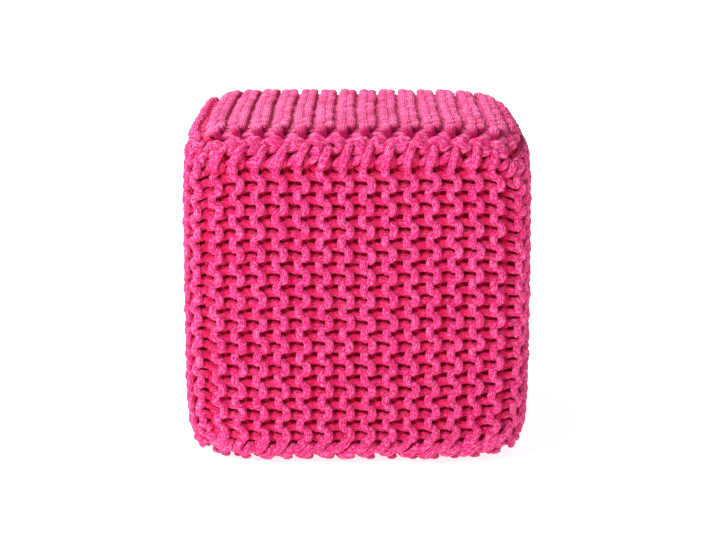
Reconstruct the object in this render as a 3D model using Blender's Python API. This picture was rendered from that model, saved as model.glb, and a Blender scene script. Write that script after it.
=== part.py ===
"""Knitted cube pouf: one filled body with raised ribs, and the twelve cord seams that join its six sides.

Metres, +Z up, origin at the middle of the flat spot that it rests on. Run in Blender 4.5.
"""

from math import copysign

import bmesh
import bpy
import numpy as np
from mathutils import Vector

# Overall form: a cube with crowned sides and rounded edges, a little flattened where it rests.
HALF_WIDTH = 0.1995
HALF_HEIGHT = 0.195
REST_FLAT = 0.002
PLAN_SQUARENESS = 8.5
RIM_SQUARENESS = 5.8
UPRIGHT_SQUARENESS = 10.8

# How far each corner of the top and bottom is drawn in further (plus) or filled out (minus).
# Columns: left or right, front or back, bottom or top, draw in metres.
CORNER_DRAWS = (
    (-1, -1, 1, -0.001),
    (1, -1, 1, 0.002),
    (-1, 1, 1, -0.004),
    (1, 1, 1, 0.005),
    (-1, -1, -1, 0.000),
    (1, -1, -1, 0.003),
    (-1, 1, -1, 0.002),
    (1, 1, -1, 0.001),
)

# Ribs: each side has this many, upright on the four walls and front to back on the top and bottom.
# A side is SIDE_RIBS ribs wide from edge to edge, and the middle of its first rib is FIRST_RIB from
# its edge, because the cord on the edge takes the place of a rib.
SIDE_RIBS = 15.4
RIBS = 14
FIRST_RIB = 1.2
VALLEY_DEPTH = 0.0055
VALLEY_HALF = 0.20

# The sides are drawn in along every edge. Distances from the edge are counted in ribs.
GROOVE_STEPS = (0.0, 0.20, 0.50, 0.90)
GROOVE_DEPTHS = (0.0106, 0.0102, 0.0052, 0.0)
LENGTH_STEPS = (1.7, 3.7)

# Seam cord: one slanted whip stitch for each rib, lying in the groove. It starts and ends short of
# the corners. The sinks are how far its middle lies under the form, on the edges along X, along Y
# and along Z, and how much further where the groove is deeper beside it.
SEAM_START = 0.45
SEAM_RADIUS = 0.0056
SEAM_WAIST = 0.72
SEAM_TIP = 0.45
SEAM_SINKS = (0.0037, 0.0036, 0.0042)
FURTHER_SINKS = {
    "seam_top_front": 0.0009,
    "seam_top_left": 0.0007,
    "seam_bottom_back": 0.0008,
    "seam_bottom_left": 0.0009,
}
SEAM_SWAY = 0.0014

PINK = (0.62, 0.045, 0.15, 1.0)
SEAM_PINK = (0.57, 0.035, 0.13, 1.0)

COLLECTION = "knitted_pouf"
SIDE_NAMES = {0: ("left", "right"), 1: ("front", "back"), 2: ("bottom", "top")}


def arc_table():
    """Cube coordinate against share of the arc from the middle of a side to its edge."""
    across = np.linspace(0.0, 1.0, 401)
    reach = (1.0 + across**PLAN_SQUARENESS) ** (-1.0 / PLAN_SQUARENESS)
    steps = np.hypot(np.diff(across * reach), np.diff(reach))
    arc = np.concatenate(([0.0], np.cumsum(steps)))
    return across, arc / arc[-1]


ACROSS, ARC = arc_table()


def cube_from_rib(rib):
    """Cube coordinate, -1 to 1, of a place counted in ribs from one edge of a side."""
    share = 2.0 * rib / SIDE_RIBS - 1.0
    return copysign(float(np.interp(abs(share), ARC, ACROSS)), share)


def rib_from_cube(coordinate):
    """The reverse of cube_from_rib."""
    share = copysign(float(np.interp(abs(coordinate), ACROSS, ARC)), coordinate)
    return (share + 1.0) * SIDE_RIBS / 2.0


def corner_draw(cube_point):
    """Extra draw near a corner, fading out towards the middles of the sides."""
    total = 0.0
    for side, depth, level, draw in CORNER_DRAWS:
        nearness = max(0.0, side * cube_point.x)
        nearness *= max(0.0, depth * cube_point.y)
        nearness *= max(0.0, level * cube_point.z)
        total += draw * nearness**3
    return total


def form_point(cube_point):
    """Place on the crowned form over a point of the cube, and the direction that faces out of it."""
    x, y, z = (abs(value) for value in cube_point)
    square = PLAN_SQUARENESS + (RIM_SQUARENESS - PLAN_SQUARENESS) * z**2
    plan = x**square + y**square
    reach = (plan ** (UPRIGHT_SQUARENESS / square) + z**UPRIGHT_SQUARENESS) ** (-1.0 / UPRIGHT_SQUARENESS)
    half = Vector((HALF_WIDTH, HALF_WIDTH, HALF_HEIGHT))
    spot = cube_point * half * reach
    slope = plan ** (UPRIGHT_SQUARENESS / square - 1.0)
    out = Vector(
        (
            copysign(slope * x ** (square - 1.0) / HALF_WIDTH, cube_point.x),
            copysign(slope * y ** (square - 1.0) / HALF_WIDTH, cube_point.y),
            copysign(z ** (UPRIGHT_SQUARENESS - 1.0) / HALF_HEIGHT, cube_point.z),
        )
    ).normalized()
    spot -= out * corner_draw(cube_point)
    spot.z += HALF_HEIGHT - REST_FLAT
    return spot, out


def valley(rib):
    """Depth of the furrow between two ribs, 0 on a rib's flat crest."""
    from_first = rib - (FIRST_RIB - 0.5)
    nearest = min(max(round(from_first), 0), RIBS)
    return VALLEY_DEPTH * max(0.0, 1.0 - abs(from_first - nearest) / VALLEY_HALF)


def body_point(cube_point):
    """Place of the body's surface over a point of the cube, with its rib, furrow and drawn-in edge."""
    spot, out = form_point(cube_point)
    ribs = [rib_from_cube(value) for value in cube_point]
    from_edges = sorted(min(rib, SIDE_RIBS - rib) for rib in ribs)
    groove = float(np.interp(from_edges[1], GROOVE_STEPS, GROOVE_DEPTHS))
    on_wall_side = from_edges[0] == min(ribs[0], SIDE_RIBS - ribs[0])
    across = ribs[1] if on_wall_side else ribs[0]
    spot -= out * max(groove, valley(across))
    spot.z = max(spot.z, 0.0)
    return spot


def rib_lines():
    """Places across a side that get a line of points: each furrow and both edges of each crest."""
    lines = [GROOVE_STEPS[1], SIDE_RIBS - GROOVE_STEPS[1]]
    for rib in range(RIBS + 1):
        furrow = FIRST_RIB - 0.5 + rib
        lines += (furrow - VALLEY_HALF, furrow, furrow + VALLEY_HALF)
    return sorted(lines)


def length_lines():
    """Places along the ribs that get a line of points: close together by the seams, then far apart."""
    near = GROOVE_STEPS[1:] + LENGTH_STEPS
    return sorted(near + (SIDE_RIBS / 2.0,) + tuple(SIDE_RIBS - step for step in near))


def cut_lines(mesh, axis, lines, faces):
    """Cut the given faces of the cube along planes that stand across the axis."""
    normal = Vector((0.0, 0.0, 0.0))
    normal[axis] = 1.0
    for line in lines:
        geometry = set(faces)
        for face in faces:
            geometry.update(face.edges)
            geometry.update(face.verts)
        cut = bmesh.ops.bisect_plane(
            mesh,
            geom=list(geometry),
            dist=1e-6,
            plane_co=normal * cube_from_rib(line),
            plane_no=normal,
        )
        faces = [item for item in cut["geom"] if isinstance(item, bmesh.types.BMFace)]


def inner_side_faces(mesh):
    """Faces of the left and right walls, without the rows that meet the top and the bottom."""
    limit = cube_from_rib(SIDE_RIBS - GROOVE_STEPS[1]) + 1e-4
    found = []
    for face in mesh.faces:
        on_wall_side = all(abs(abs(vert.co.x) - 1.0) < 1e-5 for vert in face.verts)
        if on_wall_side and all(abs(vert.co.z) < limit for vert in face.verts):
            found.append(face)
    return found


def make_material(name, colour):
    material = bpy.data.materials.new(name)
    material.use_nodes = True
    shader = material.node_tree.nodes["Principled BSDF"]
    shader.inputs["Base Color"].default_value = colour
    shader.inputs["Roughness"].default_value = 0.85
    shader.inputs["Metallic"].default_value = 0.0
    return material


def make_body(collection, material):
    """The filled body: a cube cut along the ribs, its points moved out to the crowned form."""
    bpy.ops.mesh.primitive_cube_add(size=2.0)
    body = bpy.context.active_object
    body.name = "knit_body"
    mesh = bmesh.new()
    mesh.from_mesh(body.data)
    cut_lines(mesh, 0, rib_lines(), list(mesh.faces))
    cut_lines(mesh, 1, length_lines(), list(mesh.faces))
    cut_lines(mesh, 2, length_lines(), list(mesh.faces))
    cut_lines(mesh, 1, rib_lines(), inner_side_faces(mesh))
    bmesh.ops.triangulate(mesh, faces=list(mesh.faces))
    for vert in mesh.verts:
        vert.co = body_point(vert.co.copy())
    bmesh.ops.recalc_face_normals(mesh, faces=list(mesh.faces))
    mesh.to_mesh(body.data)
    mesh.free()
    body.data.materials.append(material)
    for other in list(body.users_collection):
        other.objects.unlink(body)
    collection.objects.link(body)


def seam_name(axis, signs):
    """Name of the seam on the edge that runs along the axis, from the sides that it joins."""
    sides = {}
    for other, sign in signs.items():
        sides[other] = SIDE_NAMES[other][int(sign > 0)]
    if axis == 2:
        return f"seam_corner_{sides[1]}_{sides[0]}"
    return f"seam_{sides[2]}_{sides[1 - axis]}"


def seam_path(axis, signs):
    """Points and thicknesses of a seam: fat in the middle of each whip stitch, thin between two."""
    path = []
    sink = SEAM_SINKS[axis] + FURTHER_SINKS.get(seam_name(axis, signs), 0.0)
    for half in range(2 * RIBS + 2):
        cube_point = Vector((0.0, 0.0, 0.0))
        cube_point[axis] = cube_from_rib(SEAM_START + half / 2.0)
        for other, sign in signs.items():
            cube_point[other] = sign
        spot, out = form_point(cube_point)
        along = Vector((0.0, 0.0, 0.0))
        along[axis] = 1.0
        fat = half % 2 == 1
        sway = SEAM_SWAY if fat else -SEAM_SWAY
        spot += out.cross(along).normalized() * sway - out * sink
        thickness = 1.0 if fat else SEAM_WAIST
        path.append((spot, thickness))
    return path


def make_seam(collection, material, axis, signs):
    path = seam_path(axis, signs)
    name = seam_name(axis, signs)
    curve = bpy.data.curves.new(name, "CURVE")
    curve.dimensions = "3D"
    curve.bevel_depth = SEAM_RADIUS
    curve.bevel_resolution = 1
    curve.use_fill_caps = True
    spline = curve.splines.new("POLY")
    spline.points.add(len(path) - 1)
    for point, (spot, thickness) in zip(spline.points, path):
        point.co = (*spot, 1.0)
        point.radius = thickness
    spline.points[0].radius = SEAM_TIP
    spline.points[-1].radius = SEAM_TIP
    curve.materials.append(material)
    collection.objects.link(bpy.data.objects.new(name, curve))


def main():
    for item in list(bpy.data.objects):
        bpy.data.objects.remove(item)
    collection = bpy.data.collections.new(COLLECTION)
    bpy.context.scene.collection.children.link(collection)
    make_body(collection, make_material("pink_knit", PINK))
    seam_material = make_material("pink_seam_cord", SEAM_PINK)
    for axis in range(3):
        first, second = (other for other in range(3) if other != axis)
        for one in (-1.0, 1.0):
            for two in (-1.0, 1.0):
                make_seam(collection, seam_material, axis, {first: one, second: two})


main()
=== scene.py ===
"""Looks of the knitted cube pouf: real loops of cord on its six sides, and sewn cords on its edges."""

from math import cos, pi, radians, sin

import bpy
import numpy as np
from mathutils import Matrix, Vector


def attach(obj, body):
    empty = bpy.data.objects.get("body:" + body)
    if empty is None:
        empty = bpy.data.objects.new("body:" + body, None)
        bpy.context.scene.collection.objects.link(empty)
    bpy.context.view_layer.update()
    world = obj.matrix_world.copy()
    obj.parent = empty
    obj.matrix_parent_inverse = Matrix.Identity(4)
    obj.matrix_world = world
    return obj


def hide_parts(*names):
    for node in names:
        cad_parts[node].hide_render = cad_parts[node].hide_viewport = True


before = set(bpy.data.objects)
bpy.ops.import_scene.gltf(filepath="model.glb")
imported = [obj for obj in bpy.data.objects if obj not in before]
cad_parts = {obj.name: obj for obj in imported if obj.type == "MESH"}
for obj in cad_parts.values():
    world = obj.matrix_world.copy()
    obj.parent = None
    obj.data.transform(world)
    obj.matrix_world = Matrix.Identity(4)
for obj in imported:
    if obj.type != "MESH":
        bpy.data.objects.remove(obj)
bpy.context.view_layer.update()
rng = np.random.default_rng(41)

# Overall form, as the solids have it: a cube with crowned sides and rounded edges.
HALF_WIDTH = 0.1995
HALF_HEIGHT = 0.195
REST_FLAT = 0.002
PLAN_SQUARENESS = 8.5
RIM_SQUARENESS = 5.8
UPRIGHT_SQUARENESS = 10.8
ARC_POINTS = 401

# Columns: left or right, front or back, bottom or top, extra draw of that corner in metres.
CORNER_DRAWS = (
    (-1, -1, 1, -0.001),
    (1, -1, 1, 0.002),
    (-1, 1, 1, -0.004),
    (1, 1, 1, 0.005),
    (-1, -1, -1, 0.000),
    (1, -1, -1, 0.003),
    (-1, 1, -1, 0.002),
    (1, 1, -1, 0.001),
)

# A side is SIDE_RIBS ribs wide from edge to edge, with RIBS ribs of its own. The middle of the first is
# FIRST_RIB from the edge. The walls and the flat sides, which are the top and the underside, have
# different numbers of stitches along each rib.
SIDE_RIBS = 15.4
RIBS = 14
FIRST_RIB = 1.2
WALL_STITCHES = 14
FLAT_STITCHES = 17
CORD_RADIUS = 0.0042

# The cord is pressed flatter than round: how much wider and how much lower.
WALL_PRESS = (1.10, 0.90)
FLAT_PRESS = (1.34, 0.78)

# Middle of the first row of stitches, and how far from both ends of a side its cords stop, in stitches.
WALL_ROW = 0.1
FLAT_ROW = 0.80
WALL_END = 0.30
FLAT_END = 0.40

# The courses of heads on the flat sides start later, which leaves a hole beside each rib's first stitch.
FLAT_HEADS_START = 1.30

# Uneven knitting. Rows wave up and down from rib to rib and along each rib, and stitches sway to the
# side in a wave and by chance. Columns of a wave: its size, in stitches for rows and in ribs for sways,
# and its pace for each rib or stitch.
RIB_WAVE = (0.03, 0.7)
ROW_WAVE = (0.02, 0.5)
SWAY_WAVE = (0.03, 0.45)
SWAY_CHANCE = 0.018

# Nudges of each stitch: across in ribs, along in stitches, height in metres. Nudges of each whip: along
# the edge in ribs, across it and in height in metres, thickness.
STITCH_NUDGES = (0.016, 0.018, 0.0004)
WHIP_NUDGES = (0.05, 0.0015, 0.0009, 0.06)

# One stitch of the two courses that make a rib. Columns: across the rib in ribs from its middle,
# along it in stitches, height of the cord's middle over the form in metres, thickness.
WALL_HEADS = (
    (-0.820, -0.500, -0.0172, 0.92),
    (-0.755, -0.330, -0.0165, 0.94),
    (-0.610, -0.230, -0.0138, 1.00),
    (-0.430, -0.205, -0.0096, 1.02),
    (-0.180, -0.240, -0.0108, 1.00),
    (0.030, -0.290, -0.0085, 1.00),
    (0.130, -0.245, -0.0046, 1.02),
    (0.205, -0.060, -0.0034, 1.05),
    (0.155, 0.150, -0.0042, 1.02),
    (0.050, 0.235, -0.0080, 0.98),
    (-0.180, 0.240, -0.0108, 1.00),
    (-0.430, 0.265, -0.0096, 1.02),
    (-0.610, 0.285, -0.0138, 1.00),
    (-0.755, 0.360, -0.0165, 0.94),
)
WALL_SINKERS = (
    (-0.195, -0.520, -0.0040, 1.00),
    (-0.190, -0.330, -0.0048, 1.00),
    (-0.060, -0.260, -0.0080, 1.00),
    (0.150, -0.240, -0.0116, 1.00),
    (0.400, -0.225, -0.0116, 1.02),
    (0.590, -0.205, -0.0146, 1.00),
    (0.740, -0.130, -0.0172, 0.94),
    (0.800, 0.010, -0.0178, 0.92),
    (0.740, 0.170, -0.0172, 0.94),
    (0.590, 0.260, -0.0146, 1.00),
    (0.400, 0.265, -0.0116, 1.02),
    (0.150, 0.205, -0.0116, 1.00),
    (-0.060, 0.200, -0.0080, 1.00),
    (-0.190, 0.290, -0.0048, 1.00),
)

# On the flat sides the visible bend of each stitch is longer and rises higher.
FLAT_HEADS = (
    (-0.820, -0.500, -0.0158, 0.92),
    (-0.755, -0.270, -0.0140, 0.95),
    (-0.610, -0.200, -0.0102, 1.00),
    (-0.430, -0.190, -0.0078, 1.02),
    (-0.220, -0.250, -0.0086, 1.00),
    (-0.020, -0.370, -0.0092, 1.00),
    (0.110, -0.345, -0.0078, 0.92),
    (0.170, -0.250, -0.0044, 0.98),
    (0.190, -0.100, -0.0013, 1.10),
    (0.190, 0.060, -0.0007, 1.14),
    (0.170, 0.220, -0.0038, 1.00),
    (0.110, 0.325, -0.0074, 0.92),
    (-0.020, 0.360, -0.0092, 1.00),
    (-0.220, 0.250, -0.0086, 1.00),
    (-0.430, 0.190, -0.0078, 1.02),
    (-0.610, 0.210, -0.0102, 1.00),
    (-0.755, 0.300, -0.0140, 0.95),
)
FLAT_SINKERS = (
    (-0.190, -0.440, -0.0007, 1.14),
    (-0.170, -0.280, -0.0038, 1.00),
    (-0.110, -0.175, -0.0074, 0.92),
    (0.020, -0.130, -0.0092, 1.00),
    (0.220, -0.190, -0.0086, 1.00),
    (0.430, -0.190, -0.0078, 1.02),
    (0.610, -0.160, -0.0102, 1.00),
    (0.755, -0.110, -0.0140, 0.95),
    (0.820, 0.000, -0.0158, 0.92),
    (0.755, 0.130, -0.0140, 0.95),
    (0.610, 0.200, -0.0102, 1.00),
    (0.430, 0.200, -0.0078, 1.02),
    (0.220, 0.190, -0.0086, 1.00),
    (0.020, 0.120, -0.0092, 1.00),
    (-0.110, 0.155, -0.0078, 0.92),
    (-0.170, 0.250, -0.0044, 0.98),
    (-0.190, 0.400, -0.0013, 1.10),
)

# One repeat of the cords that sew the flat sides to the front and back walls. Columns: along the edge in
# ribs from a rib's middle, how far from the edge in metres (minus on the wall), height of the cord's
# middle over the form in metres, thickness.
TOP_BAR = (
    (-0.620, -0.0330, -0.0165, 0.90),
    (-0.340, -0.0370, -0.0120, 0.92),
    (-0.225, -0.0355, -0.0065, 0.98),
    (-0.205, -0.0300, -0.0028, 1.02),
    (-0.120, -0.0240, -0.0008, 1.06),
    (-0.010, -0.0175, -0.0002, 1.08),
    (0.090, -0.0115, -0.0010, 1.04),
    (0.150, -0.0075, -0.0050, 0.96),
    (0.190, -0.0060, -0.0125, 0.88),
    (0.300, -0.0160, -0.0180, 0.88),
)
TOP_STRAND = (
    (-0.620, -0.0285, -0.0110, 0.94),
    (-0.500, -0.0265, -0.0078, 1.00),
    (-0.340, -0.0235, -0.0062, 1.02),
    (-0.180, -0.0200, -0.0066, 1.00),
    (-0.040, -0.0170, -0.0105, 0.95),
    (0.180, -0.0220, -0.0150, 0.90),
)
TOP_LUMP = (
    (-0.640, -0.0130, -0.0120, 0.92),
    (-0.540, -0.0135, -0.0086, 1.00),
    (-0.430, -0.0112, -0.0060, 1.10),
    (-0.320, -0.0122, -0.0054, 1.12),
    (-0.200, -0.0085, -0.0068, 1.02),
    (-0.080, -0.0085, -0.0105, 0.92),
    (0.150, -0.0105, -0.0145, 0.88),
)
TOP_RIM = (
    (-0.560, 0.0006, -0.0050, 1.10),
    (-0.430, 0.0016, -0.0042, 1.12),
    (-0.290, 0.0000, -0.0054, 1.04),
    (-0.150, -0.0012, -0.0072, 0.94),
    (0.000, -0.0018, -0.0082, 0.90),
    (0.150, -0.0012, -0.0072, 0.94),
    (0.290, 0.0002, -0.0056, 1.04),
)
TOP_TWIST = (
    (-0.500, -0.0055, -0.0034, 0.84),
    (-0.330, -0.0082, -0.0036, 0.86),
    (-0.160, -0.0080, -0.0058, 0.80),
    (0.000, -0.0050, -0.0070, 0.76),
    (0.180, -0.0010, -0.0056, 0.80),
    (0.340, -0.0012, -0.0038, 0.84),
)
BOTTOM_WHIP = (
    (-0.660, -0.0040, -0.0110, 0.95),
    (-0.560, -0.0050, -0.0056, 1.06),
    (-0.410, -0.0085, -0.0036, 1.14),
    (-0.240, -0.0130, -0.0030, 1.16),
    (-0.060, -0.0175, -0.0032, 1.10),
    (0.090, -0.0225, -0.0046, 1.02),
    (0.160, -0.0270, -0.0090, 0.95),
    (0.220, -0.0170, -0.0150, 0.92),
)
BOTTOM_RIM = (
    (-0.520, 0.0050, -0.0100, 1.00),
    (-0.340, 0.0030, -0.0052, 1.12),
    (-0.130, -0.0005, -0.0022, 1.26),
    (0.080, -0.0050, -0.0020, 1.30),
    (0.260, -0.0100, -0.0034, 1.22),
    (0.420, -0.0150, -0.0072, 1.06),
)
BOTTOM_FILL = (
    (-0.600, -0.0090, -0.0075, 1.06),
    (-0.380, -0.0030, -0.0062, 1.12),
    (-0.150, 0.0020, -0.0060, 1.10),
    (0.060, 0.0000, -0.0066, 1.06),
    (0.240, -0.0060, -0.0075, 1.04),
)
RIM_CORDS = {
    "top": (TOP_BAR, TOP_STRAND, TOP_LUMP, TOP_RIM, TOP_TWIST),
    "bottom": (BOTTOM_WHIP, BOTTOM_RIM, BOTTOM_FILL),
}

# How far from both ends of the edge these cords stop, in ribs.
RIM_END = 0.1

# Painted shade: the cord's colour goes to a darker, fuller shade colour deep between the cords, from which
# depth of its middle to which, in metres. On the flat sides it counts most on the crest of each rib, where
# the bars dip at their ends, and more on the right flank than the left: places across the rib, in ribs, and
# how much it counts there.
WALL_PAINTED_SHADE = (0.0062, 0.0130)
FLAT_PAINTED_SHADE = (0.0016, 0.0034)
FLANK_SHADE_PLACES = (-0.80, -0.45, -0.20, 0.22, 0.42, 0.80)
FLANK_SHADE_SHARES = (0.00, 0.05, 1.00, 1.00, 0.22, 0.08)

# Points of a cord for each stitch or whip, points around it, and the steps between two places of a
# table that the even spacing is measured on.
WALL_SAMPLES = 18
FLAT_SAMPLES = 17
WHIP_SAMPLES = 12
CORD_SIDES = 8
CURVE_STEPS = 16

# The rings of a cord start from this direction, which no cord starts along.
RING_START = (0.31, 0.57, 0.76)

# The bake map has one band for each cord. Margins: beside a cord in its band, beyond its ends, and
# beyond the tips that close it.
BAND_MARGIN = 0.06
BAKE_MARGIN = 0.01
TIP_MARGIN = 0.002

# Side: fixed axis and its sign, then the axis and sign of the directions across and along the ribs.
SIDES = {
    "front": (1, -1, 0, 1, 2, 1),
    "back": (1, 1, 0, -1, 2, 1),
    "left": (0, -1, 1, -1, 2, 1),
    "right": (0, 1, 1, 1, 2, 1),
    "top": (2, 1, 0, 1, 1, 1),
    "bottom": (2, -1, 0, -1, 1, 1),
}
FLAT_SIDES = ("top", "bottom")
Y_AXIS = 1
Z_AXIS = 2

# Upright edge: the wall on its left and the wall on its right, seen from outside, how far to the right
# of the edge the middle of its rib lies, in ribs, and how much fuller its rib is than those of the
# sides along its length and at its top, in metres.
CORNERS = {
    "front_left": ("left", "front", -0.02, 0.0002, 0.0050),
    "front_right": ("front", "right", 0.14, 0.0018, 0.0026),
    "back_right": ("right", "back", 0.04, 0.0018, 0.0020),
    "back_left": ("back", "left", 0.06, 0.0010, 0.0030),
}

# The same for the edges of the flat sides that run front to back: how far onto that side the middle of
# the rib lies, in ribs, and how much fuller it is, in metres.
RIM_RIBS = {
    "top_left": (0.0, 0.0036),
    "top_right": (0.16, -0.0026),
    "bottom_left": (0.0, 0.0036),
    "bottom_right": (0.0, 0.0036),
}

# These ribs: how far from both ends their cords stop, from which place to which they grow to their
# fullness at the top, and where their ends dip and how deep, in stitches and metres. Then how much their
# stitches sway, and how far from the middle they are fuller, in ribs.
SEAM_END = 0.12
SEAM_TOP = (11.5, 13.0)
SEAM_UNDER = (0.5, 13.5, 0.0015)
SEAM_SWAY = 0.03
SEAM_HALF = 0.7

# How much higher the walls' rows lie with each rib to the right, in stitches.
ROW_TILT = 0.012

# Where each side's cords dip under a seam: before and after how many stitches, and how deep in metres.
# They take DIP_LENGTH stitches to do so. On the flat sides a rib dips only within FLAT_DIP_HALF ribs of
# its middle, and fully within half of that.
ENDS_UNDER = {
    "front": (0.55, 12.50, 0.006),
    "back": (0.55, 12.50, 0.006),
    "left": (0.55, 13.40, 0.003),
    "right": (0.55, 13.40, 0.003),
    "top": (1.06, 15.94, 0.010),
    "bottom": (0.75, 16.25, 0.005),
}
DIP_LENGTH = 0.3
FLAT_DIP_HALF = 0.6

# The backing is a cube cut into this many steps each way, this deep under the form, and it stays this
# far over the floor, in metres. Points of the cube that agree to this many digits are one.
BACKING_STEPS = 24
BACKING_SINK = 0.0205
BACKING_REST = 0.001
BACKING_DIGITS = 6

# Fine strands that the cord is made of, which run almost straight along it: how many lie side by side
# around it, how many cross a line along it in a metre, how far they wobble, in strands, and how finely.
STRANDS_AROUND = 12
STRANDS_ALONG = 14.0
STRAND_WOBBLE = 1.6
WOBBLE_SCALE = 160.0

# Flecks are drawn out along the cord, and drift so that no two cords match.
FLECK_SCALE = 430.0
FLECK_ROUGHNESS = 0.7
FLECK_RANGE = (0.40, 0.60)
FLECK_STRETCH = 0.5
FLECK_DRIFT = 0.35

# Slow changes of shade, and the fuzz on the cord.
PATCH_SCALE = 26.0
PATCH_RANGE = (0.3, 0.7)
FUZZ_SCALE = 1500.0
FUZZ_ROUGHNESS = 0.7

# How much strands, flecks and patches count in the shade, and between which shades the colour goes from
# dark to middle and from middle to light.
SHADE_PARTS = (0.30, 0.58, 0.12)
DARK_TO_MIDDLE = (0.08, 0.50)
MIDDLE_TO_LIGHT = (0.50, 0.92)

# How much strands, fuzz and flecks count in the relief, and its depth in metres.
RELIEF_PARTS = (0.55, 0.35, 0.6)
RELIEF_DEPTH = 0.0013

# Least roughness of the cord and how much the fuzz adds to it, its soft sheen, and its shine.
CORD_ROUGHNESS = (0.42, 0.20)
SHEEN = 0.07
SHEEN_ROUGHNESS = 0.40
SHEEN_TINT = (1.0, 0.70, 0.88, 1.0)
SHINE = 0.2

# The plain backing: how fine its flecks are, how much paler, and its roughness.
PLAIN_SCALE = 300.0
PLAIN_PALER = 1.35
PLAIN_ROUGHNESS = 0.95

# The camera is this far from a place at the middle of the pouf, this much above it in radians and to the
# right in metres. The place is CAMERA_AIM metres high, and the camera looks CAMERA_LOWER radians lower
# than straight at it. Lens and sensor are in millimetres.
CAMERA_DISTANCE = 2.45
CAMERA_TILT = radians(11.95)
CAMERA_AIM = 0.193
CAMERA_SIDE = 0.001
CAMERA_LOWER = 0.0023
LENS = 101.8
SENSOR_WIDTH = 36.0

# Lamps: name, place, what it points at, size in metres, power in watts.
LAMPS = (
    ("key", (-1.4, 0.8, 2.4), (0, 0, 0.3), 0.6, 97.0),
    ("front", (-1.9, -2.3, 1.7), (0, 0, 0.2), 0.6, 76.0),
    ("fill", (1.8, -2.0, 0.8), (0, 0, 0.2), 1.5, 10.0),
)

# Light from all round, beside the lamps, and the floor with the glow that keeps it white.
SOFT_LIGHT = 0.30
FLOOR_GLOW = 0.78
FLOOR_SIZE = 60.0
FLOOR_COLOUR = (0.85, 0.85, 0.85, 1.0)
FLOOR_ROUGHNESS = 0.9
WHITE = (1.0, 1.0, 1.0, 1.0)


def arc_table():
    """Cube coordinate against share of the arc from the middle of a side to its edge, and that arc."""
    across = np.linspace(0.0, 1.0, ARC_POINTS)
    reach = (1.0 + across**PLAN_SQUARENESS) ** (-1.0 / PLAN_SQUARENESS)
    steps = np.hypot(np.diff(across * reach), np.diff(reach))
    arc = np.concatenate(([0.0], np.cumsum(steps)))
    return across, arc / arc[-1], HALF_WIDTH * arc[-1]


ACROSS, ARC, EDGE_REACH = arc_table()
RIB_WIDTH = 2.0 * EDGE_REACH / SIDE_RIBS


def cube_from_share(share):
    """Cube coordinate of a share, -1 to 1, of the way across a side."""
    return np.sign(share) * np.interp(np.abs(share), ARC, ACROSS)


def form_points(cube):
    """Places on the crowned form over points of the cube, and the directions that face out of it."""
    size = np.abs(cube)
    square = PLAN_SQUARENESS + (RIM_SQUARENESS - PLAN_SQUARENESS) * size[:, 2] ** 2
    plan = size[:, 0] ** square + size[:, 1] ** square
    upright = size[:, 2] ** UPRIGHT_SQUARENESS
    reach = (plan ** (UPRIGHT_SQUARENESS / square) + upright) ** (-1.0 / UPRIGHT_SQUARENESS)
    half = np.array((HALF_WIDTH, HALF_WIDTH, HALF_HEIGHT))
    spots = cube * half * reach[:, None]
    slope = plan ** (UPRIGHT_SQUARENESS / square - 1.0) / HALF_WIDTH
    outs = np.stack(
        (
            slope * size[:, 0] ** (square - 1.0),
            slope * size[:, 1] ** (square - 1.0),
            size[:, 2] ** (UPRIGHT_SQUARENESS - 1.0) / HALF_HEIGHT,
        ),
        axis=1,
    )
    outs *= np.sign(cube)
    outs /= np.linalg.norm(outs, axis=1)[:, None]
    draw = np.zeros(len(cube))
    for side, depth, level, amount in CORNER_DRAWS:
        near = np.clip(side * cube[:, 0], 0.0, None)
        near *= np.clip(depth * cube[:, 1], 0.0, None)
        near *= np.clip(level * cube[:, 2], 0.0, None)
        draw += amount * near**3
    spots -= outs * draw[:, None]
    spots[:, 2] += HALF_HEIGHT - REST_FLAT
    return spots, outs


def side_points(side, across, along, height):
    """Places over a side. across is in ribs, along a share, -1 to 1, and height in metres over the form."""
    fixed, sign, across_axis, across_sign, along_axis, along_sign = SIDES[side]
    cube = np.zeros((len(across), 3))
    cube[:, fixed] = sign
    cube[:, across_axis] = across_sign * cube_from_share(2.0 * across / SIDE_RIBS - 1.0)
    cube[:, along_axis] = along_sign * cube_from_share(along)
    spots, outs = form_points(cube)
    return spots + outs * height[:, None], outs


def edge_points(first, second, run_axis, run, spread, height):
    """Places by the edge of two sides, each a fixed axis and its sign. run is a share, -1 to 1, of the
    way along the edge, and spread is in metres from it, minus on the first side."""
    cube = np.zeros((len(run), 3))
    near = cube_from_share(1.0 - np.abs(spread) / EDGE_REACH)
    cube[:, run_axis] = cube_from_share(run)
    cube[:, first[0]] = first[1] * np.where(spread > 0.0, near, 1.0)
    cube[:, second[0]] = second[1] * np.where(spread > 0.0, 1.0, near)
    spots, outs = form_points(cube)
    return spots + outs * height[:, None], outs


def repeat_curve(table, step, metric, samples):
    """Evenly spaced points of the smooth curve through a repeat's table. step leads to the next repeat,
    and metric turns the table's columns into metres."""
    points = np.array(table)
    step = np.array(step)
    run = np.vstack((points[-1] - step, points, points[:2] + step))
    fine = []
    for n in range(1, len(points) + 1):
        a, b, c, d = run[n - 1 : n + 3]
        for t in np.linspace(0.0, 1.0, CURVE_STEPS, endpoint=False):
            cubic = (2.0 * a - 5.0 * b + 4.0 * c - d) * t**2 + (3.0 * b - a - 3.0 * c + d) * t**3
            fine.append(0.5 * (2.0 * b + (c - a) * t + cubic))
    fine.append(points[0] + step)
    fine = np.array(fine)
    steps = np.linalg.norm(np.diff(fine[:, :3] * np.array(metric), axis=0), axis=1)
    length = np.concatenate(([0.0], np.cumsum(steps)))
    wanted = np.linspace(0.0, length[-1], samples, endpoint=False)
    return np.column_stack([np.interp(wanted, length, fine[:, n]) for n in range(4)])


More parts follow.
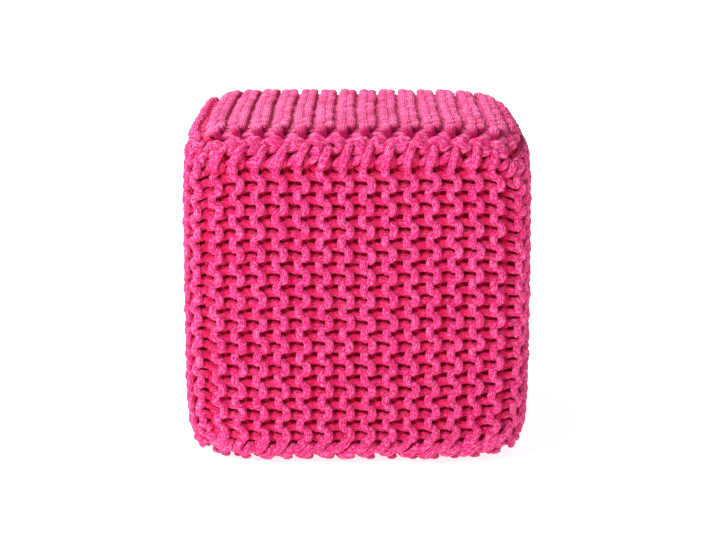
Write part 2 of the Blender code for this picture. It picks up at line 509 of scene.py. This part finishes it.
def smooth(values):
    """Average each row with its neighbours, which hides the joins between nudged repeats."""
    padded = np.vstack((2.0 * values[0] - values[1], values, 2.0 * values[-1] - values[-2]))
    return (padded[:-2] + 2.0 * padded[1:-1] + padded[2:]) / 4.0


def ripple(wave, places, start):
    """A wave of a size and a pace, from where it starts."""
    size, pace = wave
    return size * np.sin(pace * places + start)


def crest(across, half):
    """1 in the middle of a rib, falling to 0 half ribs away from it."""
    return np.clip(1.0 - np.abs(across) / half, 0.0, 1.0)


def course(table, rows, sways, samples):
    """One course of stitches, each moved a little. Columns as in the table."""
    loop = repeat_curve(table, (0, 1, 0, 0), (RIB_WIDTH, 2.0 * EDGE_REACH / len(rows), 1.0), samples)
    parts = []
    for row, sway in zip(rows, sways):
        nudge = rng.standard_normal(3) * np.array(STITCH_NUDGES)
        parts.append(loop + np.array((sway + nudge[0], row + nudge[1], nudge[2], 0.0)))
    return smooth(np.concatenate(parts))


def whips(table, middles):
    """A row of whip stitches around the given places along an edge. Columns as in the table."""
    loop = repeat_curve(table, (1, 0, 0, 0), (RIB_WIDTH, 1.0, 1.0), WHIP_SAMPLES)
    parts = []
    for middle in middles:
        nudge = rng.standard_normal(4) * np.array(WHIP_NUDGES)
        nudge[0] += middle
        parts.append(loop + nudge)
    return smooth(np.concatenate(parts))


def bake_place(share, margin):
    """Place on the bake map of a share of the way, with a margin at both ends."""
    return margin + (1.0 - 2.0 * margin) * share


def tube_faces(rings):
    """The four-sided faces of a tube of so many rings, and the triangles that close it. For the corners
    of both it gives the points, the shares of the way around, the rings and the margins on the bake map."""
    ring, side = np.meshgrid(np.arange(rings - 1), np.arange(CORD_SIDES), indexing="ij")
    ring, side = ring.ravel(), side.ravel()
    sides = np.stack((side, side + 1, side + 1, side), 1)
    ring = np.stack((ring, ring, ring + 1, ring + 1), 1)
    points = ring * CORD_SIDES + sides % CORD_SIDES
    quads = (points, sides / CORD_SIDES, ring, np.full(ring.shape, BAKE_MARGIN))
    one = np.arange(CORD_SIDES)
    two = (one + 1) % CORD_SIDES
    tip = np.full(CORD_SIDES, rings * CORD_SIDES)
    last = (rings - 1) * CORD_SIDES
    first_fan = np.stack((tip, two, one), 1)
    last_fan = np.stack((tip + 1, last + one, last + two), 1)
    middle = np.full(CORD_SIDES, CORD_SIDES / 2)
    sides = np.concatenate((np.stack((middle, two, one), 1), np.stack((middle, one, two), 1)))
    ring = np.stack((np.repeat((0, rings - 1), CORD_SIDES),) * 3, 1)
    margin = np.tile((TIP_MARGIN, BAKE_MARGIN, BAKE_MARGIN), (2 * CORD_SIDES, 1))
    return quads, (np.concatenate((first_fan, last_fan)), sides / CORD_SIDES, ring, margin)


class Tubes:
    """Gathers round cords into one mesh. The map Cord runs once around the cord, and along it in metres.
    The map OFBake gives each cord a band. The attribute Shade holds painted shade, 1 where it is fullest."""

    def __init__(self, press):
        self.wide, self.low = press
        self.cords = []

    def add(self, path, outs, radii, painted_shades):
        """Add one closed-ended cord along path, an (n, 3) array, with the direction that faces out of
        the form, the cord's radius and its painted shade at each point."""
        self.cords.append((path, outs, radii, painted_shades))

    def rings(self, path, outs, radii):
        """Points of a cord, ring by ring, with a frame that doesn't twist, and then its two tips."""
        tangents = np.gradient(path, axis=0)
        tangents /= np.linalg.norm(tangents, axis=1)[:, None]
        normal = np.cross(tangents[0], RING_START)
        turn = np.arange(CORD_SIDES) * 2.0 * pi / CORD_SIDES
        rings = []
        for spot, tangent, out, radius in zip(path, tangents, outs, radii):
            normal = normal - tangent * np.dot(normal, tangent)
            normal /= np.linalg.norm(normal)
            other = np.cross(tangent, normal)
            offsets = np.cos(turn)[:, None] * normal + np.sin(turn)[:, None] * other
            rise = (offsets @ out)[:, None] * out
            offsets = (offsets - rise) * self.wide + rise * self.low
            rings.append(spot + offsets * radius)
        points = np.concatenate(rings + [path[:1], path[-1:]])
        points[:, 2] = np.maximum(points[:, 2], 0.0)
        return points

    def make(self, name):
        """One object of all the cords, its quads first and then the triangles that close them."""
        points, painted_shades = [], []
        corners, maps, bakes = ([], []), ([], []), ([], [])
        count = 0
        for band, (path, outs, radii, cord_painted_shades) in enumerate(self.cords):
            points.append(self.rings(path, outs, radii))
            painted_shades += [np.repeat(cord_painted_shades, CORD_SIDES), cord_painted_shades[:1], cord_painted_shades[-1:]]
            along = np.concatenate(([0.0], np.cumsum(np.linalg.norm(np.diff(path, axis=0), axis=1))))
            for kind, (indices, around, ring, margin) in enumerate(tube_faces(len(path))):
                corners[kind].append(indices.ravel() + count)
                maps[kind].append(np.stack((around, along[ring]), 2).reshape(-1, 2))
                share = bake_place(along[ring] / along[-1], margin)
                row = (band + bake_place(around, BAND_MARGIN)) / len(self.cords)
                bakes[kind].append(np.stack((share, row), 2).reshape(-1, 2))
            count += len(points[-1])
        points = np.concatenate(points)
        quads, fans = (np.concatenate(part) for part in corners)
        starts = np.concatenate((np.arange(0, len(quads), 4), len(quads) + np.arange(0, len(fans), 3)))
        mesh = bpy.data.meshes.new(name)
        mesh.vertices.add(len(points))
        mesh.vertices.foreach_set("co", points.astype(np.float32).ravel())
        mesh.loops.add(len(quads) + len(fans))
        mesh.loops.foreach_set("vertex_index", np.concatenate((quads, fans)).astype(np.int32))
        mesh.polygons.add(len(starts))
        mesh.polygons.foreach_set("loop_start", starts.astype(np.int32))
        mesh.update(calc_edges=True)
        mesh.validate()
        # Painted shade for each point, which the cord material reads.
        shade = mesh.attributes.new("Shade", "FLOAT", "POINT")
        shade.data.foreach_set("value", np.concatenate(painted_shades).astype(np.float32))
        for layer, parts in (("Cord", maps), ("OFBake", bakes)):
            values = np.concatenate(parts[0] + parts[1])
            mesh.uv_layers.new(name=layer).data.foreach_set("uv", values.astype(np.float32).ravel())
        return add_object(name, mesh)


def add_object(name, mesh):
    mesh.shade_smooth()
    piece = bpy.data.objects.new(name, mesh)
    bpy.context.scene.collection.objects.link(piece)
    return piece


def lowered(along, low, high, drop):
    """How much lower the knit lies where a seam covers it, before low and after high."""
    before = np.clip((low - along) / DIP_LENGTH, 0.0, 1.0)
    after = np.clip((along - high) / DIP_LENGTH, 0.0, 1.0)
    return drop * (before + after)


def painted_shade_share(height, depths):
    """How much painted shade the cord gets, 0 to 1, at heights of its middle over the form: more the deeper
    it lies.
    """
    return np.interp(-height, depths, (0.0, 1.0))


def knit_side(side):
    """One knitted side: for each rib a course whose heads show and a course whose sinkers show."""
    flat = side in FLAT_SIDES
    tubes = Tubes(FLAT_PRESS if flat else WALL_PRESS)
    tables = (FLAT_HEADS, FLAT_SINKERS) if flat else (WALL_HEADS, WALL_SINKERS)
    first_row, end = (FLAT_ROW, FLAT_END) if flat else (WALL_ROW, WALL_END)
    starts = (FLAT_HEADS_START if flat else end, end)
    stitches, samples = (FLAT_STITCHES, FLAT_SAMPLES) if flat else (WALL_STITCHES, WALL_SAMPLES)
    tilt = 0.0 if flat else ROW_TILT
    phase = rng.uniform(0.0, 2.0 * pi)
    count = np.arange(stitches)
    for rib in range(RIBS):
        rows = first_row + count + tilt * (rib - RIBS / 2.0)
        rows += ripple(RIB_WAVE, rib, phase) + ripple(ROW_WAVE, count, rib)
        sway = SWAY_CHANCE * rng.standard_normal(stitches) + ripple(SWAY_WAVE, count, phase)
        for table, start in zip(tables, starts):
            across, along, height, thick = course(table, rows, sway, samples).T
            under = lowered(along, *ENDS_UNDER[side])
            # Painted shade for deep cords; on the flat sides it follows the flank shares across each rib.
            if flat:
                shade = painted_shade_share(height, FLAT_PAINTED_SHADE) * np.interp(across, FLANK_SHADE_PLACES, FLANK_SHADE_SHARES)
                under *= np.clip(2.0 * crest(across, FLAT_DIP_HALF), 0.0, 1.0)
                height -= under
            else:
                height -= under
                shade = painted_shade_share(height, WALL_PAINTED_SHADE)
            keep = (along > start) & (along < stitches - end)
            share = 2.0 * along[keep] / stitches - 1.0
            path, outs = side_points(side, FIRST_RIB + rib + across[keep], share, height[keep])
            tubes.add(path, outs, CORD_RADIUS * thick[keep], shade[keep])
    return tubes.make(f"knit_{side}")


def sew_rib(name, first, second, run_axis, middle, rise, end_rise):
    """A seam that looks like one more rib, along the edge of two sides."""
    tubes = Tubes(WALL_PRESS)
    rows = WALL_ROW + np.arange(WALL_STITCHES)
    sway = SEAM_SWAY * rng.standard_normal(WALL_STITCHES)
    for table in (WALL_HEADS, WALL_SINKERS):
        across, along, height, thick = course(table, rows, sway, WALL_SAMPLES).T
        keep = (along > SEAM_END) & (along < WALL_STITCHES - SEAM_END)
        across, along, thick = across[keep], along[keep], thick[keep]
        fuller = np.interp(along, SEAM_TOP, (rise, end_rise))
        height = height[keep] + fuller * crest(across, SEAM_HALF) - lowered(along, *SEAM_UNDER)
        share = 2.0 * along / WALL_STITCHES - 1.0
        path, outs = edge_points(first, second, run_axis, share, (middle + across) * RIB_WIDTH, height)
        # The seam's cords get the walls' painted shade where they lie deep.
        tubes.add(path, outs, CORD_RADIUS * thick, painted_shade_share(height, WALL_PAINTED_SHADE))
    return tubes.make(name)


def sew_rim(name, end, wall):
    """The cords that sew the front or back wall to the top or to the underside."""
    tubes = Tubes(WALL_PRESS)
    run_axis, run_sign = SIDES[wall][2:4]
    middles = FIRST_RIB + np.arange(-1, RIBS + 1)
    for table in RIM_CORDS[end]:
        run, spread, height, thick = whips(table, middles).T
        keep = (run > RIM_END) & (run < SIDE_RIBS - RIM_END)
        share = run_sign * (2.0 * run[keep] / SIDE_RIBS - 1.0)
        height = height[keep]
        path, outs = edge_points(SIDES[wall][:2], SIDES[end][:2], run_axis, share, spread[keep], height)
        # The seam's cords get the walls' painted shade where they lie deep.
        tubes.add(path, outs, CORD_RADIUS * thick[keep], painted_shade_share(height, WALL_PAINTED_SHADE))
    return tubes.make(name)


def closed_form(name):
    """The closed crowned surface of the backing, made from a cut cube."""
    points, faces, index = [], [], {}
    row_length = BACKING_STEPS + 1
    shares = np.linspace(-1.0, 1.0, row_length)
    for fixed, sign, across_axis, across_sign, along_axis, along_sign in SIDES.values():
        grid = []
        for share_along in shares:
            for share_across in shares:
                cube = [0.0, 0.0, 0.0]
                cube[fixed] = float(sign)
                cube[across_axis] = across_sign * float(cube_from_share(share_across))
                cube[along_axis] = along_sign * float(cube_from_share(share_along))
                key = tuple(round(value, BACKING_DIGITS) for value in cube)
                if key not in index:
                    index[key] = len(points)
                    points.append(cube)
                grid.append(index[key])
        facing = np.cross(np.eye(3)[across_axis] * across_sign, np.eye(3)[along_axis] * along_sign)
        outward = facing[fixed] * sign > 0.0
        for row in range(BACKING_STEPS):
            for column in range(BACKING_STEPS):
                at = row * row_length + column
                above = at + row_length
                face = (grid[at], grid[at + 1], grid[above + 1], grid[above])
                faces.append(face if outward else face[::-1])
    spots, outs = form_points(np.array(points))
    spots -= outs * BACKING_SINK
    spots[:, 2] = np.maximum(spots[:, 2], BACKING_REST)
    mesh = bpy.data.meshes.new(name)
    mesh.from_pydata(spots.tolist(), [], faces)
    return add_object(name, mesh)


class Nodes:
    """Short calls for building one material's nodes."""

    def __init__(self, material):
        self.tree = material.node_tree

    def add(self, kind, **settings):
        node = self.tree.nodes.new(kind)
        for name, value in settings.items():
            setattr(node, name, value)
        return node

    def plug(self, value, socket):
        if isinstance(value, bpy.types.NodeSocket):
            self.tree.links.new(value, socket)
        else:
            socket.default_value = value

    def math(self, operation, one, two=0.0):
        node = self.add("ShaderNodeMath", operation=operation)
        self.plug(one, node.inputs[0])
        self.plug(two, node.inputs[1])
        return node.outputs[0]

    def total(self, values, shares):
        """Sum of the values, each times its share."""
        result = self.math("MULTIPLY", values[0], shares[0])
        for value, share in zip(values[1:], shares[1:]):
            result = self.math("ADD", result, self.math("MULTIPLY", value, share))
        return result

    def noise(self, place, scale, roughness=0.5):
        node = self.add("ShaderNodeTexNoise")
        self.plug(place, node.inputs["Vector"])
        node.inputs["Scale"].default_value = scale
        node.inputs["Roughness"].default_value = roughness
        return node.outputs["Fac"]

    def ramp(self, value, ends):
        """Map the two ends to 0 and 1, held beyond them."""
        node = self.add("ShaderNodeMapRange")
        self.plug(value, node.inputs["Value"])
        node.inputs["From Min"].default_value, node.inputs["From Max"].default_value = ends
        return node.outputs["Result"]

    def mix(self, factor, one, two):
        node = self.add("ShaderNodeMix", data_type="RGBA")
        self.plug(factor, node.inputs["Factor"])
        self.plug(one, node.inputs["A"])
        self.plug(two, node.inputs["B"])
        return node.outputs["Result"]


def new_material(name):
    """A material, its shader, and the calls for adding to its nodes."""
    material = bpy.data.materials.new(name)
    material.use_nodes = True
    return material, material.node_tree.nodes["Principled BSDF"], Nodes(material)


def strand_pattern(nodes, place, around, along):
    """0 between the strands of the cord, 1 in their middles."""
    turns = nodes.total((around, along), (STRANDS_AROUND, STRANDS_ALONG))
    wobble = nodes.math("MULTIPLY", nodes.noise(place, WOBBLE_SCALE), STRAND_WOBBLE)
    wave = nodes.math("SINE", nodes.math("MULTIPLY", nodes.math("ADD", turns, wobble), 2.0 * pi))
    return nodes.math("ADD", nodes.math("MULTIPLY", wave, 0.5), 0.5)


def fleck_pattern(nodes, place, around, along):
    """Flecks on the skin of a straightened cord, so that they follow it."""
    turn = nodes.math("MULTIPLY", around, 2.0 * pi)
    skin = nodes.add("ShaderNodeCombineXYZ")
    nodes.plug(nodes.math("MULTIPLY", nodes.math("COSINE", turn), CORD_RADIUS), skin.inputs["X"])
    nodes.plug(nodes.math("MULTIPLY", nodes.math("SINE", turn), CORD_RADIUS), skin.inputs["Y"])
    nodes.plug(nodes.math("MULTIPLY", along, FLECK_STRETCH), skin.inputs["Z"])
    drift = nodes.add("ShaderNodeVectorMath", operation="MULTIPLY_ADD")
    nodes.plug(place, drift.inputs[0])
    drift.inputs[1].default_value = (FLECK_DRIFT, FLECK_DRIFT, FLECK_DRIFT)
    nodes.plug(skin.outputs["Vector"], drift.inputs[2])
    return nodes.ramp(nodes.noise(drift.outputs["Vector"], FLECK_SCALE, FLECK_ROUGHNESS), FLECK_RANGE)


def cord_material(name, painted_shade, dark, middle, light):
    """Soft cotton cord: fine strands along it, flecks, fuzz and slow changes of shade, and painted shade: a
    darker, fuller colour deep between the cords."""
    material, shader, nodes = new_material(name)
    place = nodes.add("ShaderNodeTexCoord").outputs["Object"]
    cord = nodes.add("ShaderNodeSeparateXYZ")
    nodes.plug(nodes.add("ShaderNodeUVMap", uv_map="Cord").outputs["UV"], cord.inputs[0])
    strands = strand_pattern(nodes, place, cord.outputs["X"], cord.outputs["Y"])
    flecks = fleck_pattern(nodes, place, cord.outputs["X"], cord.outputs["Y"])
    patches = nodes.ramp(nodes.noise(place, PATCH_SCALE), PATCH_RANGE)
    fuzz = nodes.noise(place, FUZZ_SCALE, FUZZ_ROUGHNESS)

    shade = nodes.total((strands, flecks, patches), SHADE_PARTS)
    colour = nodes.mix(nodes.ramp(shade, DARK_TO_MIDDLE), dark, middle)
    colour = nodes.mix(nodes.ramp(shade, MIDDLE_TO_LIGHT), colour, light)
    # Painted shade: the colour goes to the painted shade colour where the cord lies deep.
    painted_shade_mask = nodes.add("ShaderNodeAttribute", attribute_name="Shade").outputs["Fac"]
    nodes.plug(nodes.mix(painted_shade_mask, colour, painted_shade), shader.inputs["Base Color"])
    least, added = CORD_ROUGHNESS
    nodes.plug(nodes.math("ADD", nodes.math("MULTIPLY", fuzz, added), least), shader.inputs["Roughness"])

    bump = nodes.add("ShaderNodeBump")
    bump.inputs["Strength"].default_value = 1.0
    bump.inputs["Distance"].default_value = RELIEF_DEPTH
    nodes.plug(nodes.total((strands, fuzz, flecks), RELIEF_PARTS), bump.inputs["Height"])
    nodes.plug(bump.outputs["Normal"], shader.inputs["Normal"])
    shader.inputs["Sheen Weight"].default_value = SHEEN
    shader.inputs["Sheen Roughness"].default_value = SHEEN_ROUGHNESS
    shader.inputs["Sheen Tint"].default_value = SHEEN_TINT
    shader.inputs["Specular IOR Level"].default_value = SHINE
    return material


def plain_material(name, colour):
    """One colour with paler flecks."""
    material, shader, nodes = new_material(name)
    place = nodes.add("ShaderNodeTexCoord").outputs["Object"]
    paler = tuple(min(1.0, value * PLAIN_PALER) for value in colour[:3]) + (1.0,)
    nodes.plug(nodes.mix(nodes.noise(place, PLAIN_SCALE), colour, paler), shader.inputs["Base Color"])
    shader.inputs["Roughness"].default_value = PLAIN_ROUGHNESS
    return material


def add_light(name, place, aim, size, power):
    light = bpy.data.lights.new(name, "AREA")
    light.shape = "DISK"
    light.size = size
    light.energy = power
    lamp = bpy.data.objects.new(name, light)
    lamp.location = place
    lamp.rotation_euler = (Vector(aim) - Vector(place)).to_track_quat("-Z", "Y").to_euler()
    bpy.context.scene.collection.objects.link(lamp)


def add_camera():
    data = bpy.data.cameras.new("camera")
    data.lens = LENS
    data.sensor_width = SENSOR_WIDTH
    camera = bpy.data.objects.new("camera", data)
    ahead, up = CAMERA_DISTANCE * cos(CAMERA_TILT), CAMERA_DISTANCE * sin(CAMERA_TILT)
    camera.location = (CAMERA_SIDE, -ahead, CAMERA_AIM + up)
    camera.rotation_euler = (pi / 2 - CAMERA_TILT - CAMERA_LOWER, 0.0, 0.0)
    bpy.context.scene.collection.objects.link(camera)
    bpy.context.scene.camera = camera


def add_floor():
    bpy.ops.mesh.primitive_plane_add(size=FLOOR_SIZE)
    floor = bpy.context.active_object
    floor.name = "floor"
    material, shader, _ = new_material("pale_floor")
    shader.inputs["Base Color"].default_value = FLOOR_COLOUR
    shader.inputs["Roughness"].default_value = FLOOR_ROUGHNESS
    shader.inputs["Emission Color"].default_value = WHITE
    shader.inputs["Emission Strength"].default_value = FLOOR_GLOW
    floor.data.materials.append(material)


def add_world():
    """Soft light from all round, and a white background where the camera sees past the floor."""
    world = bpy.data.worlds.new("world")
    world.use_nodes = True
    nodes, links = world.node_tree.nodes, world.node_tree.links
    seen = nodes.new("ShaderNodeLightPath").outputs["Is Camera Ray"]
    strength = nodes.new("ShaderNodeMapRange")
    strength.inputs["To Min"].default_value = SOFT_LIGHT
    strength.inputs["To Max"].default_value = 1.0
    links.new(seen, strength.inputs["Value"])
    nodes["Background"].inputs["Color"].default_value = WHITE
    links.new(strength.outputs["Result"], nodes["Background"].inputs["Strength"])
    bpy.context.scene.world = world


bpy.context.scene.view_settings.view_transform = "Standard"
add_world()

# The wall cord's painted shade colour is a darker, fuller red for the hollows between cords.
pink = cord_material(
    "pink_cord",
    painted_shade=(0.76, 0.000, 0.090, 1.0),
    dark=(0.58, 0.000, 0.090, 1.0),
    middle=(0.90, 0.026, 0.225, 1.0),
    light=(1.00, 0.200, 0.470, 1.0),
)
# A paler, lighter copy of the cord colour for the top and underside: painted light, so that the top looks
# more brightly lit. Its painted shade colour is darker, for the dips at the ends of the bars.
painted_light_flat_pink = cord_material(
    "painted_light_flat_cord",
    painted_shade=(0.52, 0.000, 0.110, 1.0),
    dark=(0.94, 0.062, 0.265, 1.0),
    middle=(1.00, 0.120, 0.350, 1.0),
    light=(1.00, 0.260, 0.530, 1.0),
)
deep_pink = plain_material("deep_pink", (0.90, 0.000, 0.075, 1.0))
for side in SIDES:
    panel = knit_side(side)
    panel.data.materials.append(painted_light_flat_pink if side in FLAT_SIDES else pink)
    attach(panel, "root")
    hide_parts("knit_body")

seams = {}
for corner, (left, right, middle, rise, top_rise) in CORNERS.items():
    name = f"corner_{corner}"
    seams[name] = sew_rib(f"sewn_{name}", SIDES[left][:2], SIDES[right][:2], Z_AXIS, middle, rise, top_rise)
for end in FLAT_SIDES:
    for wall in ("left", "right"):
        name = f"{end}_{wall}"
        middle, rise = RIM_RIBS[name]
        seams[name] = sew_rib(f"sewn_{name}", SIDES[wall][:2], SIDES[end][:2], Y_AXIS, middle, rise, rise)
    for wall in ("front", "back"):
        name = f"{end}_{wall}"
        seams[name] = sew_rim(f"sewn_{name}", end, wall)
for name, seam in seams.items():
    seam.data.materials.append(pink)
    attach(seam, "root")
    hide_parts(f"seam_{name}")

backing = closed_form("knit_backing")
backing.data.materials.append(deep_pink)
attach(backing, "root")
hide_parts("knit_body")

add_floor()
add_camera()
for lamp in LAMPS:
    add_light(*lamp)
